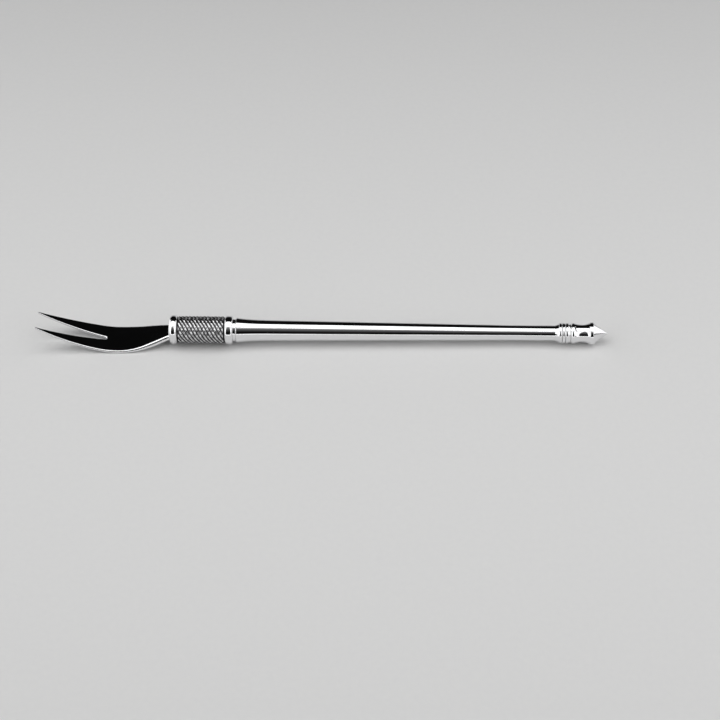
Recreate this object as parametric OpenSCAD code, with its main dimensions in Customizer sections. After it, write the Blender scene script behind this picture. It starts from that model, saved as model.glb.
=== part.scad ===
// Serving fork: a two-tined head, a knurled collar and a turned handle.
// It lies on its heel and on the shoulder of its finial, along X, with the tines towards -X.
// Lengths are in millimetres.

/* [Head] */
// Length of the head from the collar's front face to the tips
head_len = 68.2; // [64:0.1:76]
// Width of the blade where it is widest
blade_w = 19.2; // [18.4:0.1:22]
// Length of the blade's widest stretch
blade_flat = 0.5; // [0.5:0.5:8]
// Radius of each tine's outer edge, seen from above
tine_edge_r = 260; // [220:5:400]
// Width of the shank at the collar
shank_w = 10.6; // [9:0.1:11.2]
// Angle at which the shank widens to the blade
shoulder_angle = 17; // [14:0.1:18.5]
// Radius of the rounded shoulder of the blade
shoulder_r = 74; // [50:1:85]
// Radius of the curve between the shank and its taper
neck_curve_r = 6; // [4:1:12]

/* [Tines] */
// Width of the round end of the slot between the tines
slot_w = 1.4; // [1:0.1:2.4]
// Distance from the collar's front face to the round end of the slot
slot_start = 33.2; // [28:0.1:38]
// Width of each tine at its tip
tip_w = 0.9; // [0.7:0.1:2]
// Length of the rounding at the end of each tine
tip_round = 0.6; // [0.4:0.1:1]

/* [Bend] */
// Height of the shank's top face above the handle's axis, at the collar
shank_rise = -0.22; // [-0.5:0.02:0.2]
// Angle at which the shank drops from the collar
shank_drop_angle = 18.4; // [16:0.1:20]
// Length of the straight part of the shank
shank_run = 13; // [12:0.1:15]
// Radius of the heel's bend
heel_r = 43.2; // [38:0.1:48]
// Angle through which the heel turns the blade up
heel_turn = 32.2; // [29:0.1:35]
// Radius of the tines' upward curve
tine_curve_r = 150; // [120:1:260]

/* [Thickness] */
// Thickness of the shank at the collar
shank_t = 3.3; // [3:0.1:3.9]
// Thickness of the blade at the heel
blade_t = 1.6; // [1.2:0.1:2]
// Thickness of the tines at their tips
tip_t = 0.9; // [0.7:0.1:1.2]
// Distance from the collar at which the shank has thinned to the blade
thin_end = 24; // [20:1:28]
// Length over which the shank thins
thin_run = 18; // [12:1:20]

/* [Tang] */
// Width of the tang
tang_w = 5; // [4:0.1:5.6]
// Thickness of the tang
tang_t = 2.4; // [1.8:0.1:2.6]
// Length of the tang inside the collar and the handle
tang_len = 21; // [16:0.5:24]
// Clearance round the tang, on each side
tang_fit = 0.05; // [0.03:0.01:0.1]

/* [Collar] */
// Diameter of the smooth bead at the collar's front
front_bead_d = 15.1; // [14.4:0.1:15.6]
// Diameter of the smooth bead at the collar's back
back_bead_d = 14.9; // [14.4:0.1:15.6]
// Length of each bead
bead_len = 4.3; // [3.5:0.1:5]
// Diameter of the collar's end faces, where the beads end
bead_end_d = 11.9; // [11.5:0.1:12.6]
// Length of the knurled band between the beads
knurl_len = 24; // [18:0.5:30]
// Diameter over the knurl
knurl_d = 14.3; // [13.4:0.1:14.5]
// Depth of the grooves that slant down to the right
knurl_depth = 0.5; // [0.3:0.05:0.6]
// Depth of the shallower grooves that cross them
cross_depth = 0.3; // [0.1:0.05:0.5]
// Number of grooves each way round the collar
knurl_starts = 13; // [10:1:18]
// Number of knurl diamonds along the band
knurl_rows = 13; // [8:1:16]
// Length of the solid front of the collar, through which the tang passes
collar_wall = 9; // [7:0.5:12]

/* [Spigot] */
// Diameter of the handle's spigot, inside the collar
spigot_d = 9; // [8.6:0.1:9.6]
// Clearance round the spigot
spigot_fit = 0.05; // [0.03:0.01:0.1]
// Space left beyond the end of the spigot and of the tang
end_space = 0.3; // [0.2:0.1:0.6]

/* [Rod] */
// Diameter of the neck between the collar and the rod
neck_d = 11.74; // [11:0.02:11.8]
// Length of the neck
neck_len = 1.45; // [1:0.05:2.5]
// Diameter of the rod's front end
rod_front_d = 13.2; // [12.4:0.1:13.6]
// Chamfer on the rod's front edge
rod_chamfer = 0.35; // [0.1:0.05:0.5]
// Length of the flare behind the rod's front end
flare_len = 20; // [14:0.5:24]
// Diameter of the rod behind the flare
rod_d = 10.86; // [10.2:0.02:11.8]
// Length of the rod's taper
taper_len = 119; // [100:1:150]
// Diameter of the rod at its thin end
rod_end_d = 7.9; // [7:0.1:8.6]
// Length of the even stretch before the finial
even_len = 23; // [10:1:30]

/* [Finial] */
// Diameter of the ridges
ridge_d = 10.6; // [10.2:0.1:11.2]
// Number of ridges
ridge_count = 3; // [2:1:6]
// Distance from one ridge to the next
ridge_pitch = 1.7; // [1.2:0.1:2]
// Depth of the grooves between the ridges
ridge_depth = 0.5; // [0.2:0.05:0.5]
// Length of the cone from the rod up to the first ridge
cone_rise_len = 2.9; // [1.5:0.1:4]
// Diameter of the groove in front of the bead
groove_d = 9.5; // [9:0.1:9.6]
// Distance from the last ridge to the crest of the bead
bead_gap = 3.1; // [2.5:0.1:4]
// Diameter of the finial's bead
finial_bead_d = 10.8; // [10.2:0.1:11.4]
// Radius of the bead's rounding
finial_bead_r = 1.5; // [1.3:0.1:1.8]
// Diameter of the waist
waist_d = 9.1; // [8.2:0.1:9.6]
// Radius of the hollow curve from the bead to the waist
waist_front_r = 11; // [9:0.5:16]
// Radius of the hollow curve from the waist to the shoulder
waist_back_r = 6.9; // [5:0.1:9]
// Diameter of the shoulder
shoulder_d = 11.7; // [11:0.1:12.4]
// Length of the shoulder
shoulder_len = 1.4; // [0.8:0.1:2.4]
// Blunting of the shoulder's edge
shoulder_break = 0.15; // [0.05:0.05:0.3]
// Included angle of the point
point_angle = 74; // [65:1:90]
// Radius of the rounded tip
point_r = 0.5; // [0.3:0.05:0.8]

/* [Hidden] */

// Round surfaces take this many sides when they are shown
$fn = 96;
// Sections along the head, before the slot, round its end and along the tines
body_steps = 28;
root_steps = 5;
tine_steps = 30;
tip_steps = 4;
// Steps round each of the head's edges
edge_steps = 6;
// Points on each curve of an outline
curve_steps = 12;
// Reach of a cutting or trimming solid past what it cuts
past = 1;

// Curves that the outlines share

// Points of an arc round [cx, cy], from angle a0 to angle a1
function arc(cx, cy, r, a0, a1, n = curve_steps) =
    [for (i = [0:n]) let(a = a0 + (a1 - a0) * i / n) [cx + r * cos(a), cy + r * sin(a)]];

// Soft step from 0 to 1
function ease(u) = let(v = min(max(u, 0), 1)) v * v * (3 - 2 * v);

// The head seen from the side: d is the distance from the collar towards the tips

// Angle at which the blade leaves the heel
rise_angle = heel_turn - shank_drop_angle;
// The shank's end, and the centre of the heel's bend
run_z = shank_rise - shank_run * tan(shank_drop_angle);
heel_d = shank_run + heel_r * sin(shank_drop_angle);
heel_z = run_z + heel_r * cos(shank_drop_angle);
// The heel's end, and the centre of the tines' curve
rise_d = heel_d + heel_r * sin(rise_angle);
curve_d = rise_d - tine_curve_r * sin(rise_angle);
curve_z = heel_z - heel_r * cos(rise_angle) + tine_curve_r * cos(rise_angle);

// Height of the top face
function top_z(d) =
    d < shank_run ? shank_rise - d * tan(shank_drop_angle) :
    d < rise_d ? heel_z - sqrt(pow(heel_r, 2) - pow(d - heel_d, 2)) :
    curve_z - sqrt(pow(tine_curve_r, 2) - pow(d - curve_d, 2));

// Upright thickness of the metal
function thick(d) =
    d < thin_end ? blade_t + (shank_t - blade_t) * ease((thin_end - d) / thin_run) :
    blade_t + (tip_t - blade_t) * (d - thin_end) / (head_len - thin_end);

// The head seen from above

// Height and length of each part of the shoulder's curve
curve_rise = neck_curve_r * (1 - cos(shoulder_angle));
round_rise = shoulder_r * (1 - cos(shoulder_angle));
slope_rise = (blade_w - shank_w) / 2 - curve_rise - round_rise;
curve_run = neck_curve_r * sin(shoulder_angle);
slope_end = curve_run + slope_rise / tan(shoulder_angle);
flat_start = slope_end + shoulder_r * sin(shoulder_angle);
flat_end = flat_start + blade_flat;

// Distance from the middle to the outer edge
function outer_y(d) =
    d < curve_run ? shank_w / 2 + neck_curve_r - sqrt(pow(neck_curve_r, 2) - pow(d, 2)) :
    d < slope_end ? shank_w / 2 + curve_rise + (d - curve_run) * tan(shoulder_angle) :
    d < flat_start ? blade_w / 2 - shoulder_r + sqrt(pow(shoulder_r, 2) - pow(flat_start - d, 2)) :
    d < flat_end ? blade_w / 2 :
    blade_w / 2 - tine_edge_r + sqrt(pow(tine_edge_r, 2) - pow(d - flat_end, 2));

// The slot: a round end, and sides that run from it, tangent, to the tips
slot_r = slot_w / 2;
slot_d = slot_start + slot_r;
slot_reach = head_len - slot_d;
mouth_y = outer_y(head_len) - tip_w;
slot_angle = atan2(mouth_y, slot_reach) - asin(slot_r / norm([slot_reach, mouth_y]));
function slot_y(d) = slot_r / cos(slot_angle) + (d - slot_d) * tan(slot_angle);

// The tang lies in the middle of the shank's thickness
tang_z = shank_rise - shank_t / 2;

// Every edge of the head is half round. Half of the head, to one side of the middle, is a run of
// sections. Each goes from the top face round the outer edge to the underside, and then up the
// inner edge, which is round where it lies on the slot and otherwise lies in the middle plane.

edge_angles = [for (k = [0:edge_steps]) 90 - 180 * k / edge_steps];

// Point at angle a of an edge that starts at plan position p and is set back along n
function edge_point(p, n, inset, t, a) =
    let(q = p + n * inset * (1 - cos(a)))
    [-q[0], q[1], top_z(q[0]) - thick(q[0]) / 2 + t / 2 * sin(a)];

// Section at distance d, with its inner edge at plan position p and set back along n
function section(d, p, n, full = 1) =
    let(middle = (outer_y(d) + p[1]) / 2,
        reach = (outer_y(d) - p[1]) / 2 * full,
        t = thick(d) * full,
        inset = min(t / 2, reach))
    concat(
        [for (a = edge_angles) edge_point([d, middle + reach], [0, -1], inset, t, a)],
        [for (a = edge_angles) edge_point([p[0], middle - reach], n, inset, t, -a)]);

root_inset = thick(slot_start) / 2;
body_end = slot_start - root_inset;
tip_start = head_len - tip_round;
// The tips' rounding turns through this angle and ends in a small flat
tip_turn = 80;

body_sections = [for (i = [0:body_steps - 1])
    let(d = body_end * i / body_steps)
    section(d, [d, 0], [0, 0])];
root_sections = [for (i = [0:root_steps])
    let(a = 180 - (90 - slot_angle) * i / root_steps,
        out = [cos(a), sin(a)],
        d = slot_d + (slot_r + root_inset) * cos(a))
    concat(
        [for (b = edge_angles) edge_point([d, outer_y(d)], [0, -1], thick(d) / 2, thick(d), b)],
        [for (b = edge_angles)
            edge_point([slot_d, 0] + slot_r * out, out, root_inset, thick(d), -b)])];
tine_sections = [for (i = [1:tine_steps])
    let(d = slot_d + (tip_start - slot_d) * i / tine_steps)
    section(d, [d, slot_y(d)], [0, 1])];
tip_sections = [for (i = [1:tip_steps])
    let(a = tip_turn * i / tip_steps,
        d = tip_start + tip_round * sin(a) / sin(tip_turn))
    section(d, [d, slot_y(d)], [0, 1], cos(a))];
sections = concat(body_sections, root_sections, tine_sections, tip_sections);

// The collar
collar_len = 2 * bead_len + knurl_len;
// Outline of a bead: an arc through its crest and its two ends
function bead(x, crest_d) =
    let(drop = (crest_d - bead_end_d) / 2,
        r = (pow(bead_len / 2, 2) + pow(drop, 2)) / (2 * drop),
        a = asin(bead_len / 2 / r))
    arc(x + bead_len / 2, crest_d / 2 - r, r, 90 + a, 90 - a);
front_bead = bead(0, front_bead_d);
back_bead = bead(collar_len - bead_len, back_bead_d);
// The knurl's ends reach a little into the beads
knurl_sink = 0.1;

// The handle
rod_start = collar_len + neck_len;
taper_start = rod_start + flare_len;
taper_end = taper_start + taper_len;
rod_end = taper_end + even_len;
taper_slope = (rod_d - rod_end_d) / 2 / taper_len;
// What the flare adds to the taper's radius at the rod's front
flare_r = rod_front_d / 2 - rod_d / 2 - taper_slope * flare_len;
function rod_r(x) = rod_d / 2 + taper_slope * (taper_start - x)
    + flare_r * pow(1 - (x - rod_start) / flare_len, 3);

first_ridge = rod_end + cone_rise_len;
last_ridge = first_ridge + ridge_pitch * (ridge_count - 1);
groove_start = last_ridge + ridge_pitch / 2;
bead_x = last_ridge + bead_gap;
bead_centre_r = finial_bead_d / 2 - finial_bead_r;
// The bead runs tangent into the hollow, which is deepest at the waist
waist_x = bead_x + sqrt(pow(waist_front_r + finial_bead_r, 2)
    - pow(waist_d / 2 + waist_front_r - bead_centre_r, 2));
hollow_a = atan2(waist_x - bead_x, waist_d / 2 + waist_front_r - bead_centre_r);
shoulder_a = acos(1 - (shoulder_d - waist_d) / 2 / waist_back_r);
shoulder_x = waist_x + waist_back_r * sin(shoulder_a) + shoulder_len;
point_x = shoulder_x + shoulder_d / 2 / tan(point_angle / 2) - point_r / sin(point_angle / 2);
groove_a = asin((groove_d / 2 - bead_centre_r) / finial_bead_r);

ridges = [for (i = [0:curve_steps * ridge_count - curve_steps / 2])
    let(x = i * ridge_pitch / curve_steps)
    [first_ridge + x, ridge_d / 2 - ridge_depth * (1 - cos(360 * x / ridge_pitch)) / 2]];

finial = concat(
    [[rod_end, rod_end_d / 2]],
    ridges,
    [[groove_start, groove_d / 2]],
    arc(bead_x, bead_centre_r, finial_bead_r, 180 - groove_a, 90 - hollow_a),
    arc(waist_x, waist_d / 2 + waist_front_r, waist_front_r, -90 - hollow_a, -90),
    arc(waist_x, waist_d / 2 + waist_back_r, waist_back_r, -90, -90 + shoulder_a),
    [[shoulder_x - shoulder_break, shoulder_d / 2],
     [shoulder_x + shoulder_break * cos(point_angle / 2),
      shoulder_d / 2 - shoulder_break * sin(point_angle / 2)]],
    arc(point_x, 0, point_r, 90 - point_angle / 2, 0));

rod = concat(
    [[collar_len, neck_d / 2],
     [rod_start, neck_d / 2],
     [rod_start, rod_front_d / 2 - rod_chamfer]],
    [for (i = [0:2 * curve_steps])
        let(x = rod_start + rod_chamfer + (flare_len - rod_chamfer) * i / (2 * curve_steps))
        [x, rod_r(x)]],
    [[taper_end, rod_end_d / 2]]);

spigot_start = collar_wall + end_space;
spigot_r = spigot_d / 2 - spigot_fit;

// The fork at rest: it leans on the lowest points of its front part and of its finial

under_face = [for (s = sections) s[edge_steps]];
front_points = concat(
    [for (p = under_face) [p[0], p[2]]],
    [for (p = concat(front_bead, back_bead)) [p[0], -p[1]]]);
back_points = [for (p = finial) [p[0], -p[1]]];
lean_slopes = [for (b = back_points) max([for (f = front_points) (b[1] - f[1]) / (b[0] - f[0])])];
lean = atan(min(lean_slopes));
function lean_x(p) = p[0] * cos(lean) + p[1] * sin(lean);
function lean_z(p) = p[1] * cos(lean) - p[0] * sin(lean);
rest_z = -min([for (f = front_points) lean_z(f)]);
tip = [-head_len, top_z(head_len) - tip_t / 2];
rest_x = -(lean_x(tip) + point_x * cos(lean) + point_r) / 2;

module at_rest() {
    translate([rest_x, 0, rest_z]) rotate([0, lean, 0]) children();
}

// Turns an outline of [x, radius] points round the handle's axis
module turned(outline) {
    rotate([0, 90, 0])
        rotate_extrude()
            polygon([for (p = outline) [p[1], p[0]]]);
}

module tang(grow = 0) {
    translate([-past, -tang_w / 2 - grow, tang_z - tang_t / 2 - grow])
        cube([tang_len + past + (grow > 0 ? end_space : 0), tang_w + 2 * grow, tang_t + 2 * grow]);
}

// The knurl's surface: rows of points along the collar, half a diamond apart.
// Crests and groove crossings take turns, and a groove's middle lies between four of them.
row_pitch = (knurl_len + 2 * knurl_sink) / (2 * knurl_rows);
column_turn = 180 / knurl_starts;
rows = 2 * knurl_rows;
columns = 2 * knurl_starts;
function knurl_point(row, column, depth) =
    let(r = knurl_d / 2 - depth, a = column * column_turn)
    [bead_len - knurl_sink + row * row_pitch, r * cos(a), r * sin(a)];
function wrap(column) = (column + columns) % columns;
function grid_index(row, column) = row * columns + wrap(column);
grid_points = [for (i = [0:rows]) for (j = [0:columns - 1])
    knurl_point(i, j, (i + j) % 2 == 0 ? knurl_depth : 0)];
function middle_index(row, column) = len(grid_points) + row * columns + wrap(column);
middle_points = [for (i = [0:rows - 1]) for (j = [0:columns - 1])
    knurl_point(i + 0.5, j + 0.5, (i + j) % 2 == 0 ? knurl_depth : cross_depth)];

module knurl() {
    // Each cell of the grid has two crests, and four faces that meet at its middle
    cell_faces = [for (i = [0:rows - 1]) for (j = [0:columns - 1])
        let(a = grid_index(i, j), b = grid_index(i + 1, j), c = grid_index(i + 1, j + 1),
            d = grid_index(i, j + 1), m = middle_index(i, j))
        each [[a, b, m], [b, c, m], [c, d, m], [d, a, m]]];
    front_face = [[for (j = [0:columns - 1]) grid_index(0, j)]];
    back_face = [[for (j = [columns - 1:-1:0]) grid_index(rows, j)]];
    polyhedron(concat(grid_points, middle_points), concat(cell_faces, front_face, back_face));
}

// The sections are joined in one skin. The two halves share their points in the middle plane.
section_len = 2 * edge_steps + 2;
half_len = section_len * len(sections);
top_in = section_len - 1;
under_in = edge_steps + 1;
function head_index(side, i, j) =
    let(k = j % section_len, shared = i <= body_steps && k > edge_steps)
    (shared ? 0 : side * half_len) + i * section_len + k;

module two_tined_blade() {
    half = [for (s = sections) each s];
    skin = [for (side = [0, 1]) for (i = [0:len(sections) - 2]) for (j = [0:section_len - 1])
        if (i >= body_steps || j < under_in || j == top_in)
            let(a = head_index(side, i, j), b = head_index(side, i, j + 1),
                c = head_index(side, i + 1, j + 1), d = head_index(side, i + 1, j))
            each side == 0 ? [[c, b, a], [d, c, a]] : [[a, b, c], [a, c, d]]];
    shank_end = concat([top_in], [for (j = [0:under_in]) j],
        [for (j = [edge_steps:-1:0]) head_index(1, 0, j)]);
    last = len(sections) - 1;
    tip_ends = [
        [for (j = [section_len - 1:-1:0]) head_index(0, last, j)],
        [for (j = [0:section_len - 1]) head_index(1, last, j)]];
    polyhedron(concat(half, [for (p = half) [p[0], -p[1], p[2]]]),
        concat(skin, [shank_end], tip_ends));
}

module fork_head() {
    color([0.62, 0.63, 0.66])
        at_rest()
            union() {
                two_tined_blade();
                tang();
            }
}

module collar() {
    color([0.78, 0.78, 0.8])
        at_rest()
            difference() {
                union() {
                    turned(concat([[0, 0]], front_bead, back_bead, [[collar_len, 0]]));
                    knurl();
                }
                tang(tang_fit);
                translate([collar_wall, 0, 0])
                    rotate([0, 90, 0])
                        cylinder(d = spigot_d, h = collar_len - collar_wall + past);
            }
}

module handle() {
    color([0.84, 0.84, 0.86])
        at_rest()
            difference() {
                turned(concat([[spigot_start, 0], [spigot_start, spigot_r], [collar_len, spigot_r]],
                    rod, finial));
                tang(tang_fit);
            }
}

fork_head();
collar();
handle();
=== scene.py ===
# %% [markdown]
# # A serving fork in polished steel
# The fork has three pieces: a two-tined head, bent from one plate, a knurled collar, and a long
# turned handle with a pointed finial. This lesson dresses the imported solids: each piece is made
# again with a finer surface, because a mirror finish shows every facet, and gets a steel of its own.
# It starts with the frame that everything is measured in.

# %% Load the frame
import math

import bmesh
import bpy
import numpy as np
from mathutils import Matrix, Vector


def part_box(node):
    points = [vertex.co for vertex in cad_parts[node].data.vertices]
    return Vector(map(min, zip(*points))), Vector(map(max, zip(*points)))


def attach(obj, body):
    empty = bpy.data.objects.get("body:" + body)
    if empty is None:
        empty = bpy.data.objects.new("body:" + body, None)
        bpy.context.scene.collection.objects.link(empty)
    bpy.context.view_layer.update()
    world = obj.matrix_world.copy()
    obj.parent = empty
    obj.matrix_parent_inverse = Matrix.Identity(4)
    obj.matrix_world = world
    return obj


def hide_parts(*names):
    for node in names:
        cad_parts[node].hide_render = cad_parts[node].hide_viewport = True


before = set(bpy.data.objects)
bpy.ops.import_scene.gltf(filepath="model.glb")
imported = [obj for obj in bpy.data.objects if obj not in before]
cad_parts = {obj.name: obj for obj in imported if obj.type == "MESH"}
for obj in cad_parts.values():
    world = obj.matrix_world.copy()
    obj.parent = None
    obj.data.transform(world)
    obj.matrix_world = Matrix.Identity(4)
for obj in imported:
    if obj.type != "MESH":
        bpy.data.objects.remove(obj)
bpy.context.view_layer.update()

# %% [markdown]
# ## The maker's frame
# A turned piece is easiest to describe as on a lathe: x runs along the axis from the collar's front
# face, and every size is in millimetres. The real fork then lies on its heel and on the shoulder of
# its finial, so its axis leans by a little over half a degree. One matrix does both, the lean and the
# change to metres, and every piece goes through it.

# %% From the lathe to the table
MM = 0.001
LEAN = math.radians(0.586447)
AXIS_FOOT = Vector((-77.3464, 0, 8.05295)) * MM
lay_down = Matrix.Translation(AXIS_FOOT) @ Matrix.Rotation(LEAN, 4, "Y") @ Matrix.Scale(MM, 4)
print("axis starts at", [round(v, 5) for v in lay_down.translation])

# %% [markdown]
# ## A surface from rings of points
# Every piece here is a grid: rings of points that follow one another along the fork. A modifier could
# smooth a coarse cage instead, but it would soften the creases too. A grid keeps its faces even, and
# even faces bend a reflection evenly.

# %% Faces between rings
WELD_REACH = 2e-7


def ring_faces(rings, columns):
    """Faces between neighbouring rings, each of which has its points in columns."""
    return [(i * columns + j, i * columns + (j + 1) % columns,
             (i + 1) * columns + (j + 1) % columns, (i + 1) * columns + j)
            for i in range(rings - 1) for j in range(columns)]


def weld(mesh):
    """Joins points that meet, drops faces that this leaves without area, and turns all outwards."""
    bm = bmesh.new()
    bm.from_mesh(mesh)
    bmesh.ops.remove_doubles(bm, verts=bm.verts, dist=WELD_REACH)
    bmesh.ops.dissolve_degenerate(bm, edges=bm.edges, dist=WELD_REACH)
    bmesh.ops.recalc_face_normals(bm, faces=bm.faces)
    bm.to_mesh(mesh)
    bm.free()


print("3 rings of 4 points have", len(ring_faces(3, 4)), "faces")

# %% [markdown]
# A piece also stands for its solid, which it hides, and rides on the fork. The call that makes it
# says both, and stores one number per point for the material to read later.

# %% A piece from points and faces
def make_piece(name, points, faces, masks, node):
    mesh = bpy.data.meshes.new(name)
    mesh.from_pydata([lay_down @ Vector(p) for p in points], [], faces)
    for mask, values in masks.items():
        mesh.attributes.new(mask, "FLOAT", "POINT").data.foreach_set("value", values)
    piece = bpy.data.objects.new(name, mesh)
    bpy.context.scene.collection.objects.link(piece)
    weld(mesh)
    mesh.shade_smooth()
    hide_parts(node)
    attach(piece, "root")
    low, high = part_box(node)
    got = np.array([v.co for v in mesh.vertices])
    past = np.maximum(low - Vector(got.min(0)), Vector(got.max(0)) - high) / MM
    print(name, len(mesh.polygons), "faces; past its solid by", np.round(past, 3), "mm")
    return piece


# %% [markdown]
# ## The handle's outline
# The rod is turned from bar. It flares towards the collar, tapers over most of its length and stays
# even before the finial. It could be drawn as a free curve, but on a lathe a shape is only its
# outline, so the outline is written as a list of [x, radius] points, in which every size can be read.
# Corners are broken as a turner breaks them: no machined edge is left razor sharp, and the small
# rounds are what catch the light.

# %% Arcs and broken corners
MOST_OF_EDGE = 0.45


def arc(cx, cy, r, a0, a1, n=14):
    """Points of an arc round a centre, from one angle to another in degrees."""
    a = np.radians(np.linspace(a0, a1, n + 1))
    return [(cx + r * math.cos(t), cy + r * math.sin(t)) for t in a]


def set_back(corner, other, size):
    """A point a little way from a corner towards its neighbour."""
    return corner + (other - corner) * min(size / np.linalg.norm(other - corner), MOST_OF_EDGE)


def broken(corner, before, after, size, n=4):
    """Points of a small round that takes the place of a corner."""
    corner, before, after = (np.array(p, float) for p in (corner, before, after))
    a, b = set_back(corner, before, size), set_back(corner, after, size)
    t = np.linspace(0, 1, n + 1)[:, None]
    return [tuple(p) for p in (1 - t) ** 2 * a + 2 * t * (1 - t) * corner + t ** 2 * b]


def break_corners(outline, size, turn=12):
    """The outline with a round at every corner that turns by more than so many degrees."""
    made = [outline[0]]
    for before, corner, after in zip(outline, outline[1:], outline[2:]):
        a = math.atan2(corner[1] - before[1], corner[0] - before[0])
        b = math.atan2(after[1] - corner[1], after[0] - corner[0])
        bend = abs((b - a + math.pi) % (2 * math.pi) - math.pi)
        made += broken(corner, before, after, size) if bend > math.radians(turn) else [corner]
    return made + [outline[-1]]


print("a broken corner has", len(broken((0, 0), (-1, 0), (0, 1), 0.1)), "points")

# %% Outline of the rod
COLLAR_BEAD, KNURL_LEN, NECK_LEN, NECK_R, NECK_LAP = 4.3, 24, 1.45, 5.87, 0.5
FRONT_R, ROD_R, ROD_END_R, CHAMFER = 6.6, 5.43, 3.95, 0.35
FLARE, TAPER, EVEN = 20, 119, 23
FLARE_POINTS, TAPER_POINTS, EVEN_POINTS = 24, 40, 10
collar_len = 2 * COLLAR_BEAD + KNURL_LEN
rod_start = collar_len + NECK_LEN
taper_start = rod_start + FLARE
taper_end = taper_start + TAPER
rod_end = taper_end + EVEN
slope = (ROD_R - ROD_END_R) / TAPER


def rod_r(x):
    """The rod's radius: an even taper, and a flare that dies away as a cube."""
    flare = FRONT_R - ROD_R - slope * FLARE
    left = max(0, 1 - (x - rod_start) / FLARE)
    return ROD_R + slope * (taper_start - x) + flare * left ** 3


rod = [(collar_len - NECK_LAP, NECK_R), (rod_start, NECK_R), (rod_start, FRONT_R - CHAMFER)]
rod += [(x, rod_r(x)) for x in np.linspace(rod_start + CHAMFER, taper_start, FLARE_POINTS)]
rod += [(x, rod_r(x)) for x in np.linspace(taper_start, taper_end, TAPER_POINTS)[1:]]
rod += [(x, ROD_END_R) for x in np.linspace(taper_end, rod_end, EVEN_POINTS)[1:-1]]
print("rod from", round(rod_start, 2), "to", round(rod_end, 2), "mm; ends", ROD_END_R, "mm in radius")

# %% [markdown]
# ## The finial's outline
# The finial is turned on the same bar: a short cone up to three fine ridges, a groove, a bead, a
# long hollow that is deepest at the waist, a short shoulder and a blunt point. Each curve after the
# groove runs tangent into the next, which is how a form tool leaves them. Points placed by eye would
# leave small kinks that a mirror finish shows, so the places where arcs meet are worked out.

# %% Places along the finial
RIDGE_R, RIDGES, PITCH, RIDGE_DEPTH, RISE = 5.3, 3, 1.7, 0.5, 2.9
GROOVE_R, GROOVE_FLOOR, BEAD_GAP, BEAD_R, BEAD_ROUND = 4.75, 0.4, 3.1, 5.4, 1.5
WAIST_R, HOLLOW_FRONT, HOLLOW_BACK = 4.55, 11, 6.9
SHOULDER_R, SHOULDER_LEN, POINT_ANGLE, POINT_R = 5.85, 1.4, 74, 0.5

first_ridge = rod_end + RISE
last_ridge = first_ridge + PITCH * (RIDGES - 1)
bead_x = last_ridge + BEAD_GAP
bead_mid = BEAD_R - BEAD_ROUND
groove_turn = math.degrees(math.asin((GROOVE_R - bead_mid) / BEAD_ROUND))
bead_foot = bead_x - BEAD_ROUND * math.cos(math.radians(groove_turn))
drop = WAIST_R + HOLLOW_FRONT - bead_mid
waist_x = bead_x + math.sqrt((HOLLOW_FRONT + BEAD_ROUND) ** 2 - drop ** 2)
hollow = math.degrees(math.atan2(waist_x - bead_x, drop))
shoulder_turn = math.degrees(math.acos(1 - (SHOULDER_R - WAIST_R) / HOLLOW_BACK))
shoulder_x = waist_x + HOLLOW_BACK * math.sin(math.radians(shoulder_turn)) + SHOULDER_LEN
half_point = math.radians(POINT_ANGLE / 2)
point_x = shoulder_x + SHOULDER_R / math.tan(half_point) - POINT_R / math.sin(half_point)
print("bead at", round(bead_x, 2), "waist", round(waist_x, 2), "shoulder", round(shoulder_x, 2))

# %% [markdown]
# The ridges meet in sharp creases. They could be arcs too, but they are ellipses, which are fuller: a
# flat crown holds a wider reflection, and that is what shows as a dark spot on each. One function
# draws them, and the collar's beads after them.

# %% Outline of the finial
STEEP, LAST_RIDGE_END = 88, 60


def swell(x, crest_r, width, fall, fullness=2, end=STEEP, n=20):
    """A bead's outline: an ellipse, or fuller than one where fullness is over 2."""
    made = []
    for a in np.radians(np.linspace(-STEEP, end, n + 1)):
        along = math.copysign(abs(math.sin(a)) ** (2 / fullness), a)
        made.append((x + width / 2 * along, crest_r - fall * (1 - math.cos(a) ** (2 / fullness))))
    return made


finial = [(rod_end, ROD_END_R)]
for k in range(RIDGES):
    finial += swell(first_ridge + PITCH * k, RIDGE_R, PITCH, RIDGE_DEPTH,
                    end=STEEP if k < RIDGES - 1 else LAST_RIDGE_END)
finial += [(bead_foot - GROOVE_FLOOR, GROOVE_R)]
finial += arc(bead_x, bead_mid, BEAD_ROUND, 180 - groove_turn, 90 - hollow)
finial += arc(waist_x, WAIST_R + HOLLOW_FRONT, HOLLOW_FRONT, -90 - hollow, -90)[1:]
finial += arc(waist_x, WAIST_R + HOLLOW_BACK, HOLLOW_BACK, -90, -90 + shoulder_turn)[1:]
finial += [(shoulder_x, SHOULDER_R)]
finial += arc(point_x, 0, POINT_R, 90 - POINT_ANGLE / 2, 0, 6)
print("finial outlined with", len(finial), "points, up to", round(finial[-1][0], 2), "mm")

# %% [markdown]
# ## Turning the handle
# Blender's Screw or Spin could turn the outline, but here the rings are written directly, so that
# each point can also carry a recess value: 0 on open metal, 1 at the bottom of a groove, where
# polishing wheels don't reach and grime stays. The darker steel there is also painted shade.

# %% The handle
SIDES, CORNER_ROUND = 160, 0.14
# The neck value darkens the steel where the rod meets the collar: grime there, and painted shade
# between the parts.
NECK_GRIME_AND_SHADE, NECK_MARGIN, CREASE_REACH = 0.2, 0.05, 0.25
creases = [first_ridge + PITCH * (k + 0.5) for k in range(RIDGES - 1)]
creases.append(bead_foot - GROOVE_FLOOR / 2)


def turned(outline, sides):
    a = np.linspace(0, 2 * np.pi, sides, endpoint=False)
    return [(x, r * math.cos(t), r * math.sin(t)) for x, r in outline for t in a]


def handle_recess(x):
    if x < rod_start + NECK_MARGIN:
        return NECK_GRIME_AND_SHADE
    return max(0.0, 1 - min(abs(x - c) for c in creases) / CREASE_REACH)


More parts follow.
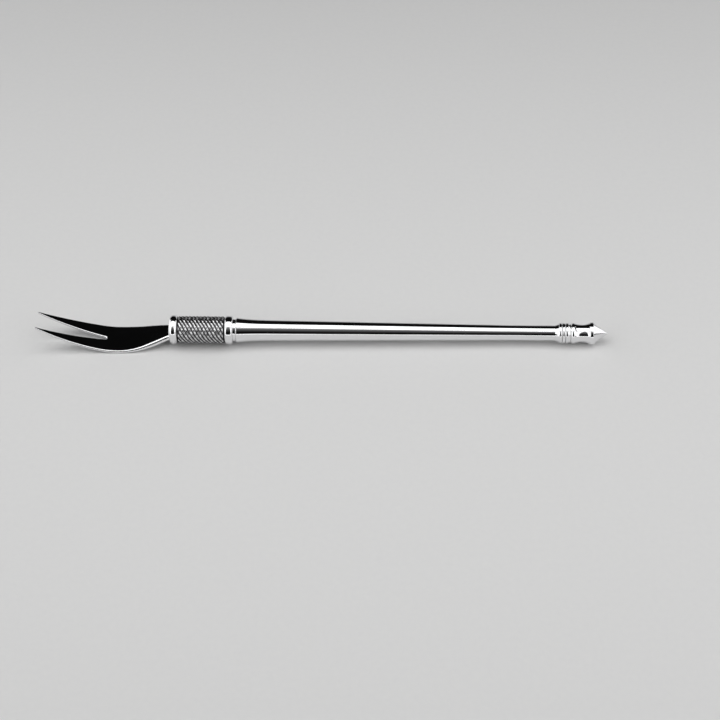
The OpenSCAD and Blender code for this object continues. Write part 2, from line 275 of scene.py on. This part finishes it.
outline = break_corners(rod + finial, CORNER_ROUND)
outline[-1] = (outline[-1][0], 0.0)
recess = np.repeat([handle_recess(x) for x, _ in outline], SIDES)
handle = make_piece("turned_handle", turned(outline, SIDES), ring_faces(len(outline), SIDES),
                    {"recess": recess}, "handle")

# %% [markdown]
# ## The collar
# The collar is a sleeve with a smooth bead at each end and a knurled band between them. Knurling
# presses two families of slanting grooves into the metal. They are cut deeper one way than the
# other, so the light runs down them in long slanted strokes. A texture could fake this, but the
# grooves break the outline too, so the band is a real height field: the radius at each point is the
# crest's, less the deeper of the two grooves there. Handling wears the crests down unevenly, by up to
# a fifth of a millimetre, and that keeps the strokes from looking printed.

# %% The knurl's height field
KNURL_R, DEEP, SHALLOW, WORN = 7.15, 0.5, 0.23, 0.18
STARTS, DIAMONDS, SINK = 13, 13, 0.1
diamond_turn = 2 * math.pi / STARTS
diamond_len = (KNURL_LEN + 2 * SINK) / DIAMONDS


def groove(across, depth, half_width=0.47):
    """Depth of a V groove: across counts grooves, and a whole number is a groove's bottom."""
    away = np.abs(across - np.round(across))
    return depth * np.clip(1 - away / half_width, 0, 1)


def wear(x, a):
    """From 0 to 1: slow waves along and round the collar, whose periods never quite meet."""
    return 0.5 + np.sin(1.9 * x + 3 * a) * np.sin(0.7 * x - 5 * a + 1) / 2


def knurl_depth(x, a):
    along = (x - COLLAR_BEAD + SINK) / diamond_len
    around = a / diamond_turn
    cut = np.maximum(groove(along - around, DEEP), groove(along + around, SHALLOW))
    return cut + WORN * wear(x, a) * (1 - cut / DEEP)


print("a diamond is", round(diamond_len, 2), "by", round(KNURL_R * diamond_turn, 2), "mm")

# %% [markdown]
# The sleeve is one stack of rings: the closed front face, a bead, the knurl, which runs out on a
# short cone at both ends, the other bead, and the back face, which ends just inside the neck of the
# handle. Each ring carries its recess, so that grime can gather in the grooves and beside the beads;
# the same darkening there is also painted shade.

# %% The collar
FRONT_BEAD_R, BACK_BEAD_R, BEAD_END_R = 7.55, 7.45, 5.95
FRONT_FULLNESS, BACK_FULLNESS, BEAD_POINTS = 2.1, 2.8, 32
# The face and bead values darken the collar's ends: grime, and painted shade where the parts meet.
FACE_R, FACE_GRIME_AND_SHADE, GRIME_AND_SHADE_RUN = 3.0, 0.3, 0.5
CONE_RISE, CONE_SLOPE, BACK_LAP, FINE = 0.1, 1.6, 0.3, 16
knurl_end = COLLAR_BEAD + KNURL_LEN
angles = np.linspace(0, 2 * np.pi, STARTS * FINE, endpoint=False)
points, recess = [], []


def bead_outline(x, crest_r, fullness):
    fall = crest_r - BEAD_END_R
    return swell(x + COLLAR_BEAD / 2, crest_r, COLLAR_BEAD, fall, fullness, n=BEAD_POINTS)


def add_ring(x, radii, sunk):
    """Adds a ring. Its radii and its recess are each one number, or one for every angle."""
    radii = np.broadcast_to(radii, angles.shape)
    points.extend((x, r * math.cos(a), r * math.sin(a)) for r, a in zip(radii, angles))
    recess.extend(np.broadcast_to(sunk, angles.shape))


for r in (0, FACE_R):
    add_ring(0, r, FACE_GRIME_AND_SHADE)
for x, r in bead_outline(0, FRONT_BEAD_R, FRONT_FULLNESS):
    add_ring(x, r, max(0, 1 - (COLLAR_BEAD - x) / GRIME_AND_SHADE_RUN))
for x in np.linspace(COLLAR_BEAD, knurl_end, DIAMONDS * FINE + 1):
    inside = min(x - COLLAR_BEAD, knurl_end - x)
    depth = knurl_depth(x, angles)
    cone_r = BEAD_END_R + CONE_RISE + inside * CONE_SLOPE
    add_ring(x, np.minimum(KNURL_R - depth, cone_r), np.maximum(depth / DEEP, 1 - inside / GRIME_AND_SHADE_RUN))
for x, r in bead_outline(knurl_end, BACK_BEAD_R, BACK_FULLNESS):
    add_ring(x, r, max(0, 1 - (x - knurl_end) / GRIME_AND_SHADE_RUN))
add_ring(collar_len, NECK_R - BACK_LAP, FACE_GRIME_AND_SHADE)
collar = make_piece("knurled_collar", points, ring_faces(len(points) // len(angles), len(angles)),
                    {"recess": recess}, "collar")

# %% [markdown]
# ## The head from the side
# The head is cut from plate, thick at the shank and drawn out to two thin points. From the side it
# drops from the collar, turns up at the heel and keeps curving up to the tips. A modifier could bend
# a flat plate, but the curves would be hard to set to a size. Here each height is a function of d,
# the distance from the collar, so that the same plate can be cut to outline in plan and then lifted
# to its bend, in the order in which a press would do it.

# %% Bend and thickness
HEAD_LEN = 68.2
SHANK_RISE, DROP, SHANK_RUN, HEEL_R, HEEL_TURN, TINE_R = -0.22, 18.4, 13, 43.2, 32.2, 150
SHANK_T, BLADE_T, TIP_T, THIN_END, THIN_RUN = 3.3, 1.6, 0.9, 24, 18
drop_a, rise_a = math.radians(DROP), math.radians(HEEL_TURN - DROP)
heel_d = SHANK_RUN + HEEL_R * math.sin(drop_a)
heel_z = SHANK_RISE - SHANK_RUN * math.tan(drop_a) + HEEL_R * math.cos(drop_a)
rise_d = heel_d + HEEL_R * math.sin(rise_a)
curve_d = rise_d - TINE_R * math.sin(rise_a)
curve_z = heel_z + (TINE_R - HEEL_R) * math.cos(rise_a)


def top_z(d):
    if d < SHANK_RUN:
        return SHANK_RISE - d * math.tan(drop_a)
    if d < rise_d:
        return heel_z - math.sqrt(HEEL_R ** 2 - (d - heel_d) ** 2)
    return curve_z - math.sqrt(TINE_R ** 2 - (d - curve_d) ** 2)


def thick(d):
    if d < THIN_END:
        u = min((THIN_END - d) / THIN_RUN, 1)
        return BLADE_T + (SHANK_T - BLADE_T) * u * u * (3 - 2 * u)
    return BLADE_T + (TIP_T - BLADE_T) * (d - THIN_END) / (HEAD_LEN - THIN_END)


print("heel at", round(heel_d, 1), "mm; tips", round(top_z(HEAD_LEN) - top_z(heel_d), 1), "mm up")

# %% [markdown]
# ## The head from above
# The outline widens from the shank over a rounded shoulder and narrows again along the tines. The
# slot has a round end and straight sides that part towards the tips. A closed curve could hold the
# whole outline, but it would be filled with faces that take no heed of the bend. Written as widths at
# each distance d, it gives every section of the plate its edges.

# %% Outline in plan
BLADE_W, BLADE_FLAT, TINE_EDGE_R, SHANK_W = 19.2, 0.5, 260, 10.6
SHOULDER_A, SHOULDER_ROUND, NECK_CURVE = math.radians(17), 74, 6
SLOT_W, SLOT_START, TIP_W, TIP_ROUND = 1.4, 33.2, 0.9, 0.6
neck_rise = NECK_CURVE * (1 - math.cos(SHOULDER_A))
slope_rise = (BLADE_W - SHANK_W) / 2 - neck_rise - SHOULDER_ROUND * (1 - math.cos(SHOULDER_A))
neck_run = NECK_CURVE * math.sin(SHOULDER_A)
slope_run = slope_rise / math.tan(SHOULDER_A)
flat_start = neck_run + slope_run + SHOULDER_ROUND * math.sin(SHOULDER_A)
flat_end = flat_start + BLADE_FLAT


def outer_y(d):
    if d < neck_run:
        return SHANK_W / 2 + NECK_CURVE - math.sqrt(NECK_CURVE ** 2 - max(d, 0) ** 2)
    if d < neck_run + slope_run:
        return SHANK_W / 2 + neck_rise + (d - neck_run) * math.tan(SHOULDER_A)
    if d < flat_start:
        return BLADE_W / 2 - SHOULDER_ROUND + math.sqrt(SHOULDER_ROUND ** 2 - (flat_start - d) ** 2)
    away = max(d - flat_end, 0)
    return BLADE_W / 2 - TINE_EDGE_R + math.sqrt(TINE_EDGE_R ** 2 - away ** 2)


slot_r, slot_d = SLOT_W / 2, SLOT_START + SLOT_W / 2
reach, mouth = HEAD_LEN - slot_d, outer_y(HEAD_LEN) - TIP_W
slot_a = math.atan2(mouth, reach) - math.asin(slot_r / math.hypot(reach, mouth))


def slot_y(d):
    return slot_r / math.cos(slot_a) + (d - slot_d) * math.tan(slot_a)


print("blade", BLADE_W, "mm wide from", round(flat_start, 1), "to", round(flat_end, 1), "mm")

# %% [markdown]
# ## One half of the head
# The head is the same on both sides, so half of it is made and mirrored. Its cross-section is a
# loop: the outer edge, the underside, the slot's edge and the top face. The real head has had its
# edges rounded right over. A bevel could round them, but at the slot's narrow end two bevels would
# run into each other, so the round is part of each section: half a circle across, as thick as the
# plate is there. That is why the edges show as bright lines, wider at the thick shank, round nearly
# black faces; the lines are also a painted highlight, as the edges get a brighter steel than the
# faces.

# %% Points round the cross-section
ACROSS, TURN = 10, 12


def round_edge(d, y, nx, ny, inset, full=1.0):
    """Points round an edge, from the top face to the underside; nx, ny point into the metal."""
    made = []
    for a in np.radians(np.linspace(90, -90, TURN + 1)):
        px, py = d + nx * inset * (1 - math.cos(a)), y + ny * inset * (1 - math.cos(a))
        middle, half = top_z(px) - thick(px) / 2, full * thick(px) / 2
        made.append(((-px, py, middle + half * math.sin(a)), 1.0))
    return made


def face_row(a, b):
    """Points across a face, between the rims a and b of two edges."""
    return [(tuple(a[i] + (b[i] - a[i]) * k / ACROSS for i in range(3)), 0.0)
            for k in range(1, ACROSS)]


def section(outer, inner):
    """The loop: outer edge downwards, underside, inner edge upwards, top face."""
    inner = inner[::-1]
    return (outer + face_row(outer[-1][0], inner[0][0])
            + inner + face_row(inner[-1][0], outer[0][0]))


print("a loop has", 2 * (TURN + ACROSS), "points")

# %% Sections along the head
INTO_COLLAR, BODY_SECTIONS, ROOT_SECTIONS, TINE_SECTIONS = 0.4, 90, 16, 84
TIP_TURNS = np.radians([12, 24, 36, 48, 60, 70, 80, 86])


def plain_section(d, full=1.0):
    inside = slot_y(d) if d > slot_d else 0.0
    middle, half = (outer_y(d) + inside) / 2, (outer_y(d) - inside) / 2 * full
    inset = min(full * thick(d) / 2, half)
    outer = round_edge(d, middle + half, 0, -1, inset, full)
    if d > slot_d:
        return section(outer, round_edge(d, middle - half, 0, 1, inset, full))
    return section(outer, [((x, 0.0, z), 0.0) for (x, _, z), _ in outer])


root_inset = thick(SLOT_START) / 2
body_end, tip_start = SLOT_START - root_inset, HEAD_LEN - TIP_ROUND
sections = [plain_section(d) for d in np.linspace(-INTO_COLLAR, body_end, BODY_SECTIONS)[:-1]]
in_body = len(sections)
for a in np.radians(np.linspace(180, 90 + math.degrees(slot_a), ROOT_SECTIONS)):
    c, s = math.cos(a), math.sin(a)
    d = slot_d + (slot_r + root_inset) * c
    sections.append(section(round_edge(d, outer_y(d), 0, -1, thick(d) / 2),
                            round_edge(slot_d + slot_r * c, slot_r * s, c, s, root_inset)))
sections += [plain_section(d) for d in np.linspace(slot_d, tip_start, TINE_SECTIONS)[1:]]
for a in TIP_TURNS:
    d = tip_start + TIP_ROUND * math.sin(a) / math.sin(TIP_TURNS[-1])
    sections.append(plain_section(d, math.cos(a)))
print(len(sections), "sections; slot opens at", round(math.degrees(slot_a), 2), "degrees a side")

# %% [markdown]
# Before the slot, the loop's inner edge lies in the middle plane, where the two halves meet, so no
# faces are made there and the welding joins the halves into one plate.

# %% The head
around = len(sections[0])
wall = range(TURN + ACROSS, 2 * TURN + ACROSS)
faces = [face for k, face in enumerate(ring_faces(len(sections), around))
         if k // around >= in_body or k % around not in wall]
faces.append(tuple(range((len(sections) - 1) * around, len(sections) * around)))
points = [p for loop in sections for p, _ in loop]
edge = [e for loop in sections for _, e in loop]
faces += [tuple(len(points) + k for k in face[::-1]) for face in faces]
points += [(x, -y, z) for x, y, z in points]
head = make_piece("two_tined_head", points, faces, {"edge": edge + edge},
                  "fork_head")

# %% [markdown]
# ## Writing a finish
# A finish is a material's node tree. Written node by node it hides what it says, so a small class
# wraps a node's output and lets Python's own arithmetic add the Math nodes. Everything else comes
# from one method that takes the node's type, its settings and its inputs.

# %% Shader expressions
class Wire:
    """A node's output. Arithmetic on it adds Math nodes to the same finish."""

    def __init__(self, finish, socket):
        self.finish, self.socket = finish, socket

    def math(self, operation, a, b):
        return self.finish.node("ShaderNodeMath", {"operation": operation}, {0: a, 1: b})

    def __add__(self, other):
        return self.math("ADD", self, other)

    def __radd__(self, other):
        return self.math("ADD", other, self)

    def __sub__(self, other):
        return self.math("SUBTRACT", self, other)

    def __rsub__(self, other):
        return self.math("SUBTRACT", other, self)

    def __mul__(self, other):
        return self.math("MULTIPLY", self, other)

    def __rmul__(self, other):
        return self.math("MULTIPLY", other, self)


# %% A finish and its nodes
class Finish:
    """The node tree of a material, a lamp or the world, filled by calls."""

    def __init__(self, owner):
        self.owner = owner
        owner.use_nodes = True
        self.tree = owner.node_tree
        self.tree.nodes.clear()

    def node(self, kind, settings=None, inputs=None, out=0):
        """Adds a node, set first and wired after, and gives one of its outputs."""
        made = self.tree.nodes.new(kind)
        for key, value in (settings or {}).items():
            if key == "stops":
                set_stops(made.color_ramp, value)
            else:
                setattr(made, key, value)
        for key, value in (inputs or {}).items():
            socket = made.inputs[key] if isinstance(key, int) else named(made.inputs, key)
            if isinstance(value, Wire):
                self.tree.links.new(value.socket, socket)
            else:
                socket.default_value = value
        if not made.outputs:
            return self.owner
        return Wire(self, made.outputs[out] if isinstance(out, int) else named(made.outputs, out))

    def close(self, shader):
        return self.node("ShaderNodeOutputMaterial", {}, {"Surface": shader})


def named(sockets, identifier):
    return next(s for s in sockets if s.identifier == identifier)


def set_stops(ramp, stops):
    while len(ramp.elements) > 1:
        ramp.elements.remove(ramp.elements[-1])
    for k, (place, value) in enumerate(stops):
        stop = ramp.elements[0] if k == 0 else ramp.elements.new(place)
        stop.position = place
        stop.color = (value, value, value, 1)


# %% [markdown]
# ## What polished steel shows up close
# Even a mirror-bright fork isn't perfect: the polishing mop leaves slow waves, use leaves hair
# scratches and faint smears. A scan could be wrapped round the piece, but noise needs no picture and
# no seam. Each mark is a noise pattern at its own scale. Waves and scratches go into the bump, smears
# into the roughness, and the recess value dulls the grooves and darkens them, as grime and as painted
# shade.

# %% Parts that the steels share
def stretched(finish, scale):
    """Object coordinates in metres, times a scale for each axis."""
    place = finish.node("ShaderNodeTexCoord", out="Object")
    return finish.node("ShaderNodeVectorMath", {"operation": "MULTIPLY"},
                       {0: place, 1: scale})


def noise(finish, scale, detail=2.0, roughness=0.5):
    return finish.node("ShaderNodeTexNoise", {}, {"Vector": stretched(finish, scale), "Scale": 1.0,
                                                 "Detail": detail, "Roughness": roughness})


def ramp(finish, value, *stops):
    """A value between 0 and 1, sent through stops of (value, result)."""
    return finish.node("ShaderNodeValToRGB", {"stops": stops}, {0: value})


def mixed(finish, factor, a, b):
    return finish.node("ShaderNodeMix", {"data_type": "RGBA"},
                       {"Factor_Float": factor, "A_Color": (*a, 1), "B_Color": (*b, 1)},
                       "Result_Color")


def mask(finish, name):
    return finish.node("ShaderNodeAttribute", {"attribute_name": name}, {}, "Fac")


# %% Marks of use
def smeared(finish, scale):
    """Soft patches where a cloth has left a film."""
    return ramp(finish, noise(finish, scale, 3.0), (0.45, 0.0), (0.75, 1.0))


def hair_scratches(finish, scale):
    """Thin lines, 1 on a scratch: the narrow zero crossing of a stretched noise, in patches."""
    lines = noise(finish, scale, 1.0)
    spread = noise(finish, (120, 120, 120))
    thin = ramp(finish, lines, (0.485, 0.0), (0.5, 1.0), (0.515, 0.0))
    return thin * ramp(finish, spread, (0.5, 0.0), (0.62, 1.0))


# %% [markdown]
# ## Steel of the handle
# The rod was polished on a mop while it turned, so fine rings run round it, and wiping has left hair
# scratches along it. The Anisotropic setting could stretch its highlights instead, but on a finish
# this bright it would hardly show. The mop's waves are long and shallow, and bend the edges of the
# reflections a little.

# %% Handle steel
def turned_steel(name, bright, dark, rough, waves):
    """Waves are given by their depth in metres."""
    steel = Finish(bpy.data.materials.new(name))
    sunk = mask(steel, "recess")
    smears = smeared(steel, (90, 220, 220))
    rings = noise(steel, (5200, 60, 60))
    scratches = hair_scratches(steel, (240, 2600, 2600))
    # The recess value mixes the colour towards dark: grime in the hollows, and painted shade in the
    # creases, grooves and joins.
    colour = mixed(steel, ramp(steel, sunk, (0.2, 0.0), (0.75, 1.0)), bright, dark)
    roughness = rough + 0.05 * smears + 0.05 * scratches + 0.28 * sunk + 0.02 * rings
    slow = steel.node("ShaderNodeBump", {}, {"Strength": 1.0, "Distance": waves,
                                             "Height": noise(steel, (28, 110, 110), 1.0)})
    fine = steel.node("ShaderNodeBump", {}, {"Strength": 1.0, "Distance": 4e-7, "Normal": slow,
                                             "Height": rings - scratches})
    return steel.close(steel.node("ShaderNodeBsdfPrincipled", {}, {
        "Base Color": colour, "Metallic": 1.0, "Roughness": roughness, "Normal": fine}))


handle.data.materials.append(turned_steel(
    "polished_rod_steel", bright=(0.83, 0.83, 0.84), dark=(0.45, 0.45, 0.46), rough=0.045, waves=4e-5))
print("handle steel:", len(handle.data.materials[0].node_tree.nodes), "nodes")

# %% [markdown]
# ## Steel of the collar
# The knurl takes the most handling. Its crests are bright from wear, and its grooves are dull and
# dark, from grime and from painted shade. Dark grooves could be a second material on picked faces,
# but that would end at a hard line. The recess value runs smoothly down from the crests, so the same
# steel is used with a much darker recess, painted shade as well as grime, and a little more roughness.

# %% Collar steel
# The near-black dark colour paints shade into the knurl's grooves and beside the beads, as well as
# grime.
collar.data.materials.append(turned_steel(
    "worn_knurl_steel_shaded_grooves", bright=(0.82, 0.82, 0.83), dark=(0.03, 0.03, 0.032), rough=0.05, waves=2e-5))
print("collar steel:", len(collar.data.materials[0].node_tree.nodes), "nodes")

# %% [markdown]
# ## Steel of the head
# The faces are mirrors with the faint lengthwise lines of grinding, and darker than the rod. The
# rounded edges were polished by hand, so they are a touch softer than the faces, and their steel is
# painted brighter, as a painted highlight along each edge. Two materials could tell them apart, but
# one material with a mask keeps their marks in line.

# %% Head steel
def plate_steel(face, rim):
    steel = Finish(bpy.data.materials.new("mirror_plate_steel"))
    cut = mask(steel, "edge")
    smears = smeared(steel, (60, 110, 60))
    lines = noise(steel, (70, 5200, 300))
    scratches = hair_scratches(steel, (160, 2400, 900))
    roughness = 0.05 + 0.05 * cut + 0.05 * smears + 0.03 * lines + 0.06 * scratches
    bumped = steel.node("ShaderNodeBump", {}, {"Strength": 1.0, "Distance": 5e-7,
                                               "Height": lines - scratches})
    return steel.close(steel.node("ShaderNodeBsdfPrincipled", {}, {
        "Base Color": mixed(steel, cut, face, rim), "Metallic": 1.0, "Roughness": roughness,
        "Normal": bumped}))


# The rim steel is brighter than the face steel: a painted highlight on the rounded edges.
head.data.materials.append(plate_steel(face=(0.60, 0.61, 0.63), rim=(0.85, 0.85, 0.86)))
print("head steel:", len(head.data.materials[0].node_tree.nodes), "nodes")

# %% [markdown]
# ## Floor
# A plain pale sheet with a faint grain. A curved backdrop could hide where it ends, but the fork is
# looked at from all round. So the sheet fades out from half a metre to a metre away, where the pale
# lower part of the room takes over, and there is no rim to see, neither from a low angle nor in the
# steel.

# %% Floor
FLOOR_REACH, FADE_START = 1, 0.5


def pale_floor():
    sheet = Finish(bpy.data.materials.new("pale_floor"))
    grain = noise(sheet, (350, 350, 350), 3.0)
    colour = mixed(sheet, grain, (0.71, 0.71, 0.71), (0.74, 0.74, 0.735))
    away = sheet.node("ShaderNodeVectorMath", {"operation": "LENGTH"},
                      {0: stretched(sheet, (1, 1, 1))}, "Value")
    return sheet.close(sheet.node("ShaderNodeBsdfPrincipled", {}, {
        "Base Color": colour, "Roughness": 0.85, "Specular IOR Level": 0.2,
        "Alpha": ramp(sheet, away, (FADE_START, 1.0), (FLOOR_REACH, 0.0))}))


corners = [(x * FLOOR_REACH, y * FLOOR_REACH, 0) for x, y in ((-1, -1), (1, -1), (1, 1), (-1, 1))]
mesh = bpy.data.meshes.new("floor")
mesh.from_pydata(corners, [], [(0, 1, 2, 3)])
floor = bpy.data.objects.new("floor", mesh)
floor.data.materials.append(pale_floor())
bpy.context.scene.collection.objects.link(floor)
print("floor", 2 * FLOOR_REACH, "m square")

# %% [markdown]
# ## Light
# Polished metal has no look of its own: it shows the room. A picture of a studio could light it, but
# lamps can be moved until each reflection lies where it should. The room here is dark, with one broad
# soft box overhead and one on each side. The soft box overhead draws the white band along the rod,
# and the mirror faces of the head look past every lamp into the dark room behind, which is what
# makes them nearly black.

# %% Soft boxes
def soft_box(name, at, towards, size, radiance):
    """An area lamp. Its power is its radiance times its area times pi."""
    lamp = bpy.data.lights.new(name, "AREA")
    lamp.shape = "RECTANGLE"
    lamp.size, lamp.size_y = size
    lamp.energy = radiance * size[0] * size[1] * math.pi
    box = bpy.data.objects.new(name, lamp)
    box.location = at
    box.rotation_euler = (Vector(towards) - Vector(at)).to_track_quat("-Z", "Y").to_euler()
    box.visible_camera = False
    bpy.context.scene.collection.objects.link(box)
    print(name, "at", [round(v, 2) for v in at], "lit at", round(lamp.energy, 2), "W")
    return lamp


soft_box("soft_box_overhead", at=(0.0, -0.02, 0.72), towards=(0.0, -0.02, 0.0),
         size=(1.3, 0.58), radiance=1.7)
soft_box("soft_box_left", at=(-0.95, -0.12, 0.48), towards=(0.0, -0.12, 0.48),
         size=(1.95, 0.96), radiance=1.2)
soft_box("soft_box_right", at=(0.95, -0.12, 0.54), towards=(0.0, -0.12, 0.54),
         size=(1.95, 0.84), radiance=1.2)

# %% [markdown]
# In front stands a white screen with a half-round opening, through which the camera looks. In every
# bead the opening shows as a dark oval in a bright ring, and along the rod as the dark band under the
# white one. A real card with a hole would block the other lamps' light, so this is an area lamp whose
# glow is worked out from the place on it: none in the opening but a weak spill that fades downwards,
# and more in the strip at the screen's foot, which draws the bright line under the dark band.

# %% Front screen
SCREEN_W, SCREEN_H, SCREEN_D, SCREEN_EL = 2.3, 1.52, 1.2, math.radians(32)
OPEN_X, OPEN_W, OPEN_TOP, OPEN_MID, OPEN_FOOT = -0.12, 0.82, 1.22, -0.5, -0.64
SPILL, FOOT_GAIN = 0.2, 0.5
SPILL_STOPS = (0.4, 0.0), (0.56, 0.18), (0.71, 0.47), (0.93, 1.0)


def front_screen_glow(lamp):
    """Each value that goes through a ramp is first brought near 0.5, inside the ramp's 0 to 1."""
    glow = Finish(lamp)
    place = glow.node("ShaderNodeNewGeometry", out="Parametric")
    u, v = (glow.node("ShaderNodeSeparateXYZ", {}, {"Vector": place}, axis) - 0.5 for axis in "XY")
    across, up = u * SCREEN_W, v * SCREEN_H
    x, y = (across - OPEN_X) * (1 / OPEN_W), (up - OPEN_MID) * (1 / OPEN_TOP)
    outside = ramp(glow, (x * x + y * y) * 0.5, (0.44, 0.0), (0.54, 1.0))
    foot = ramp(glow, up - OPEN_FOOT + 0.5, (0.49, 1.0), (0.51, 0.0))
    dark = (1 - outside) * (1 - foot)
    spill = ramp(glow, up * 0.6 + 0.5, *SPILL_STOPS) * SPILL
    return glow.node("ShaderNodeOutputLight", {}, {"Surface": glow.node(
        "ShaderNodeEmission", {}, {"Strength": 1 - dark + dark * spill + foot * FOOT_GAIN})})


at = Vector((0, -math.cos(SCREEN_EL), math.sin(SCREEN_EL))) * SCREEN_D
front_screen_glow(soft_box("front_screen", at, (0, 0, 0), size=(SCREEN_W, SCREEN_H), radiance=1.2))

# %% [markdown]
# ## Room
# The room is pale up to a little over the floor's horizon behind the fork, as a low backdrop is, and
# nearly black above that. Walls could be built, but they would have to be lit as well, so the world
# background is shaded by direction.

# %% The dark room
DARK, PALE = 0.005, 0.6
TILT, HORIZON_STOPS = 0.1, ((0.575, 1.0), (0.6, 0.0))


def room(world):
    walls = Finish(world)
    towards = walls.node("ShaderNodeTexCoord", out="Generated")
    y, z = (walls.node("ShaderNodeSeparateXYZ", {}, {"Vector": towards}, axis) for axis in "YZ")
    pale = ramp(walls, z - y * TILT + 0.5, *HORIZON_STOPS)
    walls.node("ShaderNodeOutputWorld", {}, {"Surface": walls.node(
        "ShaderNodeBackground", {}, {"Strength": DARK + pale * (PALE - DARK)})})
    return world


bpy.context.scene.world = room(bpy.data.worlds.new("dark_studio"))
print("room lit at", DARK, "and at", PALE, "below")

# %% [markdown]
# ## Camera
# The camera looks down at 43 degrees from the front, through a long lens, and is turned a little
# to the left. It could be aimed by a constraint, but that would lose its slight roll, so its three
# axes are written out.

# %% Camera
CAMERA_AT = Vector((0.0555536, -0.7192768, 0.6544035))
DOWN, AIM, ROLL = math.radians(42.8187), math.radians(-2.8789), math.radians(-1.8129)
look = Vector((math.sin(AIM) * math.cos(DOWN), math.cos(AIM) * math.cos(DOWN), -math.sin(DOWN)))
level = Vector((math.cos(AIM), -math.sin(AIM), 0))
rise = level.cross(look)
right = math.cos(ROLL) * level + math.sin(ROLL) * rise
up = -math.sin(ROLL) * level + math.cos(ROLL) * rise
lens = bpy.data.cameras.new("camera")
lens.lens, lens.sensor_width = 95, 36
camera = bpy.data.objects.new("camera", lens)
turn = Matrix((right, up, -look)).transposed().to_4x4()
camera.matrix_world = Matrix.Translation(CAMERA_AT) @ turn
bpy.context.scene.collection.objects.link(camera)
bpy.context.scene.camera = camera
bpy.context.scene.view_settings.view_transform = "Standard"
print("camera at", [round(v, 4) for v in camera.location], "with a", lens.lens, "mm lens")
